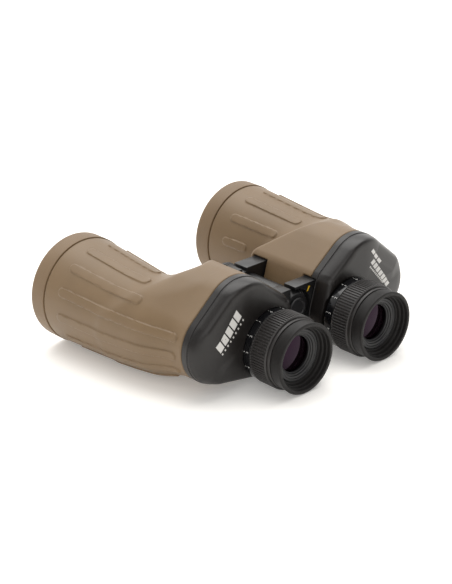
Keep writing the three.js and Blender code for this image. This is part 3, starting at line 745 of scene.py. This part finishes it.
def make_eyepiece(side, sign, screwed_in):
    body = f"{side}_eyepiece"
    x, z = sign * EYE_X, EYE_Z

    def put(name, profile, material, node, segments=BORE_SEGMENTS, ripple=None, sharp=35.0):
        thing = turned(f"{side}_{name}", profile, x, z, screwed_in, segments, ripple)
        finish_piece(thing, body, material, [f"{side}_{node}"], sharp)

    put("soft_eyecup", [
        (19.45, 0, 0.5), (21.3, 0, 0.6), (CUP_R, 0.55, 0.6), (21.35, 2.6, 1.0), (21.0, 5.0, 1.0),
        (20.9, 8.5, 0.7), (TUBE_R + GAP, 8.5, 0), (TUBE_R + GAP, 6.9, 0.2), (17.3, 6.6, 0.3),
        (17.6, 4.9, 0.4), (18.5, 4.6, 0.4), (18.7, 2.5, 0.4), (19.2, 2.2, 0.4),
    ], CUP, "eyecup")
    put("stepped_tube", [
        (11.0, 10.4, 0), (11.0, 9.4, 0.2), (11.7, 9.1, 0.2), (11.9, 8.4, 0.2), (12.8, 8.2, 0.2),
        (13.0, 7.5, 0.2), (14.2, 7.3, 0.2), (14.5, 6.6, 0.3), (TUBE_R, 6.6, 0.3), (TUBE_R, 37, 0.4),
        (12.2, 37, 0), (12.2, 10.4, 0),
    ], CELL, "eyepiece_tube")
    bore = NECK_R + 0.4
    knurled = [(FOCUS_R, y, 0) for y in np.linspace(FOCUS_REAR + 0.7, FOCUS_FRONT - 0.7, 26)]
    put("knurled_ring", [
        (TUBE_R + GAP, 8.9, 0), (21.2, 8.9, 0.5), (21.2, FOCUS_REAR, 0), (22.0, FOCUS_REAR, 0.25), *knurled,
        (22.0, FOCUS_FRONT, 0.25), (bore, FOCUS_FRONT, 0), (bore, 12.4, 0), (TUBE_R + GAP, 12.4, 0),
    ], KNURL, "focus_ring", KNURL_RIDGES * KNURL_STEPS, knurl_ripple, 50.0)
    put("scale_collar", [
        (bore, COLLAR_REAR, 0), (COLLAR_R, COLLAR_REAR, 0.2), (COLLAR_R, COLLAR_FRONT, 0.35),
        (bore, COLLAR_FRONT, 0),
    ], GLOSS, "dioptre_scale_collar", 192)
    # The eye lens's near-black glass is painted shade of the dark inside of the eyepiece.
    put("eye_glass", lens_profile(11.85, 11.6, 14.4, 0.8, 1.4), EYE_GLASS_PAINTED_SHADE, "eye_lens", 96)
    put("field_glass", lens_profile(11.85, 26, 29.5, 1, 1.2), LENS_GLASS, "field_lens", 96)
    put("spacer", [(10.9, 16, 0.2), (11.85, 16, 0.2), (11.85, 24.6, 0.2), (10.9, 24.6, 0.2)],
        CELL, "lens_spacer", 96)


# ---------------------------------------------------------------- marks

MARK_THICKNESS = 0.05


def bar_slab(bar, columns=4, rows=3, base=-0.03, thickness=0.07):
    """A leaning bar like slab's, cut into a grid so that it can follow a curved face."""
    a, b, c, d = (np.array(corner) for corner in bar)
    points, faces = [], []
    across, up = np.linspace(0, 1, columns + 1), np.linspace(0, 1, rows + 1)
    for w in (base, thickness):
        points += [(*((a * (1 - s) + b * s) * (1 - t) + (d * (1 - s) + c * s) * t), w)
                   for t in up for s in across]
    size, width = len(points) // 2, columns + 1
    for j in range(rows):
        for i in range(columns):
            k = j * width + i
            quad = (k, k + 1, k + 1 + width, k + width)
            faces += [quad[::-1], tuple(size + v for v in quad)]
    edge = [*range(columns), *[columns + j * width for j in range(rows)],
            *[rows * width + i for i in range(columns, 0, -1)], *[j * width for j in range(rows, 0, -1)]]
    faces += [(m, n, size + n, size + m) for m, n in zip(edge, edge[1:] + edge[:1])]
    return points, faces


def slab(outline, thickness=MARK_THICKNESS, base=-0.02):
    """Points and faces of a flat mark: its outline in (u, v), with height w from base up."""
    count = len(outline)
    points = [(u, v, base) for u, v in outline] + [(u, v, thickness) for u, v in outline]
    faces = [tuple(range(count))[::-1], tuple(range(count, 2 * count))]
    faces += [(i, (i + 1) % count, count + (i + 1) % count, count + i) for i in range(count)]
    return points, faces


def digit_mesh(text, size):
    """A numeral's points and faces, centred on the origin, in (u, v, w)."""
    curve = bpy.data.curves.new("numeral", "FONT")
    curve.body = text
    curve.size = size
    curve.align_x = "CENTER"
    curve.align_y = "CENTER"
    curve.extrude = MARK_THICKNESS
    curve.resolution_u = 4
    thing = bpy.data.objects.new("numeral", curve)
    bpy.context.scene.collection.objects.link(thing)
    bpy.context.view_layer.update()
    mesh = bpy.data.meshes.new_from_object(thing.evaluated_get(bpy.context.evaluated_depsgraph_get()))
    points = [tuple(vertex.co) for vertex in mesh.vertices]
    faces = [tuple(polygon.vertices) for polygon in mesh.polygons]
    bpy.data.objects.remove(thing)
    bpy.data.curves.remove(curve)
    bpy.data.meshes.remove(mesh)
    return points, faces


def gather(parts, place):
    """Joins marks into one list of points and faces; place maps each point and its mark's data."""
    points, faces = [], []
    for (mark_points, mark_faces), data in parts:
        start = len(points)
        points += [place(point, data) for point in mark_points]
        faces += [tuple(start + i for i in face) for face in mark_faces]
    return points, faces


SCALE_STEP = 360 / 14
SCALE_NUMERALS = "01234567654321"
NUMERAL_SIZE = 2.5


def make_scale(side, sign, screwed_in, first_angle):
    """Ticks and numerals round the collar; each numeral reads with its foot towards the cover."""
    tick = slab([(-0.14, -0.6), (0.14, -0.6), (0.14, 0.6), (-0.14, 0.6)])
    parts = []
    for i, numeral in enumerate(SCALE_NUMERALS):
        angle = math.radians(first_angle + i * SCALE_STEP)
        parts.append((tick, (angle, COLLAR_FRONT - 0.9)))
        parts.append((digit_mesh(numeral, NUMERAL_SIZE), (angle, COLLAR_REAR + 1.8)))

    def place(point, data):
        u, v, w = point
        angle, y = data
        r = COLLAR_R + w
        turn = angle - u / COLLAR_R
        return (sign * EYE_X + r * math.cos(turn), y + v + screwed_in, EYE_Z + r * math.sin(turn))

    scale = object_from(f"{side}_scale_marks", *gather(parts, place))
    finish_piece(scale, f"{side}_eyepiece", PAINT_WHITE)


BAR_LEAN = 0.25


def slanted_row(start, direction, length, height, count, fill):
    """Equal leaning bars along a line, as plain marks where a maker would print."""
    start, direction = np.array(start), np.array(direction) / np.hypot(*direction)
    side = np.array([-direction[1], direction[0]])
    pitch = length / count
    bars = []
    for i in range(count):
        a = start + direction * pitch * i
        b = a + direction * pitch * fill
        rise = side * height + direction * height * BAR_LEAN
        bars.append([a, b, b + rise, a + rise])
    return bars


def make_cover_marks(side, surface, rows, material):
    """Prints the rows on the cover's rear face, wherever it lies."""
    parts = [(bar_slab(bar), None) for row in rows for bar in row]

    def place(point, _):
        hit = surface.ray_cast(Vector((abs(point[0]), 0, point[1])), Vector((0, 1, 0)))[0]
        return (point[0], (hit.y if hit else COVER_REAR) - point[2], point[1])

    points, faces = gather(parts, place)
    finish_piece(object_from(f"{side}_cover_marks", points, faces), f"{side}_barrel", material)


# ---------------------------------------------------------------- hinge


def make_lug(name, side, lug, tip, own, taper=False):
    """A bracket with its knuckle in one half of its width; own is the knuckle's (start, end)."""
    start, split, end = lug
    thing = block(name, (tip, start, LUG_BOTTOM), (24, end, LUG_TOP))
    core = loft("core", [outline_ring(y, LUG_SINK) for y in (start - 5, end + 5)])
    other = (split - GAP / 2, end + 1) if own[0] == start else (start - 1, split + GAP / 2)
    clearance = rod("clearance", 0, HINGE_Z, KNUCKLE_R + 0.5, *other)
    under = block("under", (-30, start - 1, LUG_BOTTOM - 5), (6, end + 1, HINGE_Z + 6))
    combine(thing, "DIFFERENCE", core, clearance, under)
    bevelled(thing, 0.4)
    y0, y1 = own
    nose_r = BOSS_NOSE_R if taper else KNUCKLE_R
    knuckle = turned("knuckle", [
        (AXLE_R + GAP, y0, 0), (nose_r, y0, 0.4), (KNUCKLE_R, y1, 0.3), (AXLE_R + GAP, y1, 0),
    ], 0, HINGE_Z, segments=128)
    bore = rod("bore", 0, HINGE_Z, AXLE_R + GAP, start - 1, end + 1)
    if side == "left":
        thing.data.transform(Matrix.Scale(-1, 4, (1, 0, 0)))
        thing.data.flip_normals()
    combine(thing, "DIFFERENCE", rod("room", 0, HINGE_Z, AXLE_R + 2, y0 + 0.01, y1 - 0.01))
    combine(thing, "UNION", knuckle)
    combine(thing, "DIFFERENCE", bore)
    finish_piece(thing, f"{side}_barrel", LUG, [name], 30.0)
    thing.name = f"{name}_casting"
    return thing


CAP_RIDGES, CAP_GROOVE = 36, 0.45


def make_hinge():
    rear_near, rear_far = (REAR_LUG[0], REAR_LUG[1] - GAP / 2), (REAR_LUG[1] + GAP / 2, REAR_LUG[2])
    front_near, front_far = (FRONT_LUG[0], FRONT_LUG[1] - GAP / 2), (FRONT_LUG[1] + GAP / 2, FRONT_LUG[2])
    make_lug("left_rear_lug", "left", REAR_LUG, LEFT_TIP, rear_near, taper=True)
    make_lug("right_rear_lug", "right", REAR_LUG, RIGHT_TIP, rear_far)
    make_lug("left_front_lug", "left", FRONT_LUG, LEFT_TIP, front_far)
    make_lug("right_front_lug", "right", FRONT_LUG, RIGHT_TIP, front_near)
    sleeve = [
        (AXLE_R + GAP, REAR_LUG[2] + GAP, 0), (SLEEVE_R, REAR_LUG[2] + GAP, 0.4),
        (SLEEVE_R, FRONT_LUG[0] - GAP, 0.4), (AXLE_R + GAP, FRONT_LUG[0] - GAP, 0),
    ]
    finish_piece(turned("hinge_tube", sleeve, 0, HINGE_Z), "right_barrel", LUG, ["hinge_sleeve"])
    rear, front = REAR_LUG[0] - 1.6, REAR_LUG[0] - 0.5
    disc = [(0, rear + 0.6, 0), (4.9, rear + 0.6, 0.2), (5.2, rear, 0.2), (6.1, rear, 0.3),
            (6.6, rear + 0.5, 0.3), (6.6, front, 0.1), (0, front, 0)]
    finish_piece(turned("hinge_end_disc", disc, 0, HINGE_Z), "left_barrel", CELL,
                 ["hinge_rear_disc"])
    cap_rear = FRONT_LUG[2] + 0.5
    cap_front, cap_r = cap_rear + 11, 10.2
    axle_rear = REAR_LUG[0] - 0.1
    axle = [(0, axle_rear, 0), (AXLE_R, axle_rear, 0.4), (AXLE_R, cap_rear - GAP, 0.4),
            (SOCKET_R + 0.5, cap_rear - GAP, 0.2), (SOCKET_R, cap_rear - 1, 0),
            (SOCKET_R, cap_rear - 12, 0), (0, cap_rear - 12, 0)]
    finish_piece(turned("hinge_pin", axle, 0, HINGE_Z, segments=96), "left_barrel", STEEL,
                 ["hinge_axle"])
    stub_r = SOCKET_R - GAP
    cap = [(0, cap_rear - 8, 0), (stub_r, cap_rear - 8, 0.5), (stub_r, cap_rear, 0), (cap_r, cap_rear, 0.4),
           *[(cap_r, y, 0) for y in np.linspace(cap_rear + 0.8, cap_front - 1.6, 12)],
           (cap_r, cap_front - 1.2, 0.4), (cap_r - 1.2, cap_front, 0.5), (5.0, cap_front, 0.3),
           (4.6, cap_front - 0.5, 0.3), (0, cap_front - 0.5, 0)]

    def grip(radius, y, angle):
        groove = smooth_step((np.cos(angle * CAP_RIDGES) - 0.2) / 0.6)
        band = smooth_step((y - cap_rear - 1.2) / 0.5) * smooth_step((cap_front - 2.0 - y) / 0.5)
        return -CAP_GROOVE * groove * band * (radius > cap_r - 0.1)

    finish_piece(turned("socket_cover_cap", cap, 0, HINGE_Z, segments=CAP_RIDGES * 8, ripple=grip),
                 "socket_cap", CELL, ["tripod_socket_cap"], 45.0)


def make_hinge_marks():
    """The spacing scale on the tapered boss, and the index beside it on the right rear bracket."""
    y0, y1 = REAR_LUG[0], REAR_LUG[1] - GAP / 2
    lean = (KNUCKLE_R - BOSS_NOSE_R) / (y1 - y0)
    tick = slab([(-0.16, -0.9), (0.16, -0.9), (0.16, 0.9), (-0.16, 0.9)])
    dot = slab([(-0.3, -0.3), (0.3, -0.3), (0.3, 0.3), (-0.3, 0.3)])
    parts = []
    for degrees in (64, 44, 24, 4, -16):
        parts.append((tick, (math.radians(degrees), y0 + 2.6)))
        parts.append((dot, (math.radians(degrees), y0 + 0.9)))

    def place(point, data):
        u, v, w = point
        angle, y = data
        r = BOSS_NOSE_R + lean * (y + v - y0) + w
        turn = angle - u / r
        return (r * math.cos(turn), y + v, HINGE_Z + r * math.sin(turn))

    finish_piece(object_from("spacing_scale", *gather(parts, place)), "left_barrel", PAINT_GREY)
    pointer = slab([(10.1, 49.3), (11.3, 48.9), (9.2, 45.9), (8.6, 46.2)])
    points = [(u, y0 - w, v) for u, v, w in pointer[0]]
    finish_piece(object_from("spacing_index", points, pointer[1]), "right_barrel", PAINT_YELLOW)


# ---------------------------------------------------------------- carried-over pieces

CARRIED = {
    "prism_shelf": ALLOY,
    "rear_prism": PRISM_GLASS,
    "front_prism": PRISM_GLASS,
    "rear_prism_clip": STEEL,
    "front_prism_clip": STEEL,
    "focus_neck": CELL,
    "helicoid_sleeve": BRASS,
}


def finish_carried():
    for side in ("left", "right"):
        for name, material in CARRIED.items():
            mesh = frame["nodes"][f"{side}_{name}"].data
            mesh.materials.clear()
            mesh.materials.append(material)


# ---------------------------------------------------------------- stage, light and camera


def floor_material():
    material, _, _, shader = node_material("pale_floor")
    shader.inputs["Base Color"].default_value = (0.93, 0.915, 0.89, 1)
    shader.inputs["Roughness"].default_value = 0.6
    shader.inputs["Specular IOR Level"].default_value = 0.2
    shader.inputs["Emission Color"].default_value = (1.0, 0.985, 0.96, 1)
    shader.inputs["Emission Strength"].default_value = 0.21
    return material


def make_stage():
    half = 6.0
    corners = [(-half, -half, 0), (half, -half, 0), (half, half, 0), (-half, half, 0)]
    mesh = bpy.data.meshes.new("floor")
    mesh.from_pydata(corners, [], [(0, 1, 2, 3)])
    mesh.materials.append(floor_material())
    floor = bpy.data.objects.new("floor", mesh)
    bpy.context.scene.collection.objects.link(floor)
    bpy.context.scene.world = studio_world()


def studio_world():
    """Pale surroundings that are brightest behind the object, where the backdrop is lit."""
    world = bpy.data.worlds.new("studio")
    world.use_nodes = True
    nodes, links = world.node_tree.nodes, world.node_tree.links
    coordinates = nodes.new("ShaderNodeTexCoord")
    facing = nodes.new("ShaderNodeVectorMath")
    facing.operation = "DOT_PRODUCT"
    facing.inputs[1].default_value = (0.62, 0.74, 0.25)
    links.new(coordinates.outputs["Generated"], facing.inputs[0])
    glow = nodes.new("ShaderNodeMapRange")
    glow.interpolation_type = "SMOOTHSTEP"
    glow.inputs["From Min"].default_value = -0.3
    glow.inputs["From Max"].default_value = 0.8
    glow.inputs["To Min"].default_value = 0.35
    glow.inputs["To Max"].default_value = 1.35
    links.new(facing.outputs["Value"], glow.inputs["Value"])
    background = nodes["Background"]
    background.inputs["Color"].default_value = (1.0, 0.99, 0.975, 1)
    links.new(glow.outputs["Result"], background.inputs["Strength"])
    return world


def make_sun(name, direction, strength, spread, colour):
    """A broad, even light that shines along direction; spread is its width in degrees."""
    data = bpy.data.lights.new(name, "SUN")
    data.energy = strength
    data.angle = math.radians(spread)
    data.color = colour
    light = bpy.data.objects.new(name, data)
    light.rotation_euler = Vector(direction).to_track_quat("-Z", "Y").to_euler()
    bpy.context.scene.collection.objects.link(light)


CAMERA_AZIMUTH, CAMERA_ELEVATION, CAMERA_ROLL = -42.76, 23.70, 0.39    # degrees, in the optical frame
CAMERA_DISTANCE = 1002.06
CAMERA_LENS = 100.71
PIVOT = Vector((0, 80, 30))
PIVOT_OFFSET = (-16.49, 5.84)            # of the view's middle from the pivot, across and up the view


def make_camera():
    azimuth, elevation, roll = (math.radians(v) for v in (CAMERA_AZIMUTH, CAMERA_ELEVATION, CAMERA_ROLL))
    level_part = math.cos(elevation)
    back = Vector((math.sin(azimuth) * level_part, -math.cos(azimuth) * level_part, math.sin(elevation)))
    across = Vector((math.cos(azimuth), math.sin(azimuth), 0))
    up = back.cross(across)
    level = Matrix((across, up, back)).transposed()
    turn = level @ Matrix.Rotation(-roll, 3, "Z")
    place = PIVOT + turn @ Vector((*PIVOT_OFFSET, CAMERA_DISTANCE))
    data = bpy.data.cameras.new("camera")
    data.lens = CAMERA_LENS
    data.clip_start, data.clip_end = 0.05, 30
    camera = bpy.data.objects.new("camera", data)
    camera.matrix_world = Matrix.Translation(TO_ROW @ place) @ (TURN @ turn).to_4x4()
    bpy.context.scene.collection.objects.link(camera)
    bpy.context.scene.camera = camera


# ---------------------------------------------------------------- assembly

make_camera()
make_shells()
cover_surface = {}
for side, sign, screwed_in, first_angle in (("left", -1, LEFT_SCREWED_IN, 97.0), ("right", 1, 0.0, 84.5)):
    cover_surface[side] = make_cover(side)
    make_objective(side, sign)
    make_eyepiece(side, sign, screwed_in)
    make_scale(side, sign, screwed_in, first_angle)
make_cover_marks("left", cover_surface["left"], [
    slanted_row((-71.2, 35.2), (0.648, 0.762), 25.0, 5.6, 5, 0.82),
    slanted_row((-69.9, 33.5), (0.672, 0.741), 25.5, 1.1, 9, 0.35),
], PAINT_WHITE)
make_cover_marks("right", cover_surface["right"], [
    slanted_row((52.0, 63.0), (0.62, -0.78), 14.4, 2.4, 3, 0.8),
    slanted_row((51.9, 55.7), (0.60, -0.80), 26.7, 3.5, 7, 0.8),
    slanted_row((50.8, 53.0), (0.66, -0.75), 19.7, 1.1, 12, 0.6),
], PAINT_WHITE)
make_hinge()
make_hinge_marks()
finish_carried()
make_stage()
make_sun("overhead_softbox", (-0.16, -0.26, -1.0), 2.0, 60, (1.0, 0.99, 0.97))
make_sun("camera_side_softbox", (0.62, 0.55, -0.62), 0.75, 50, (1.0, 0.985, 0.96))

bpy.context.scene.view_settings.view_transform = "Standard"
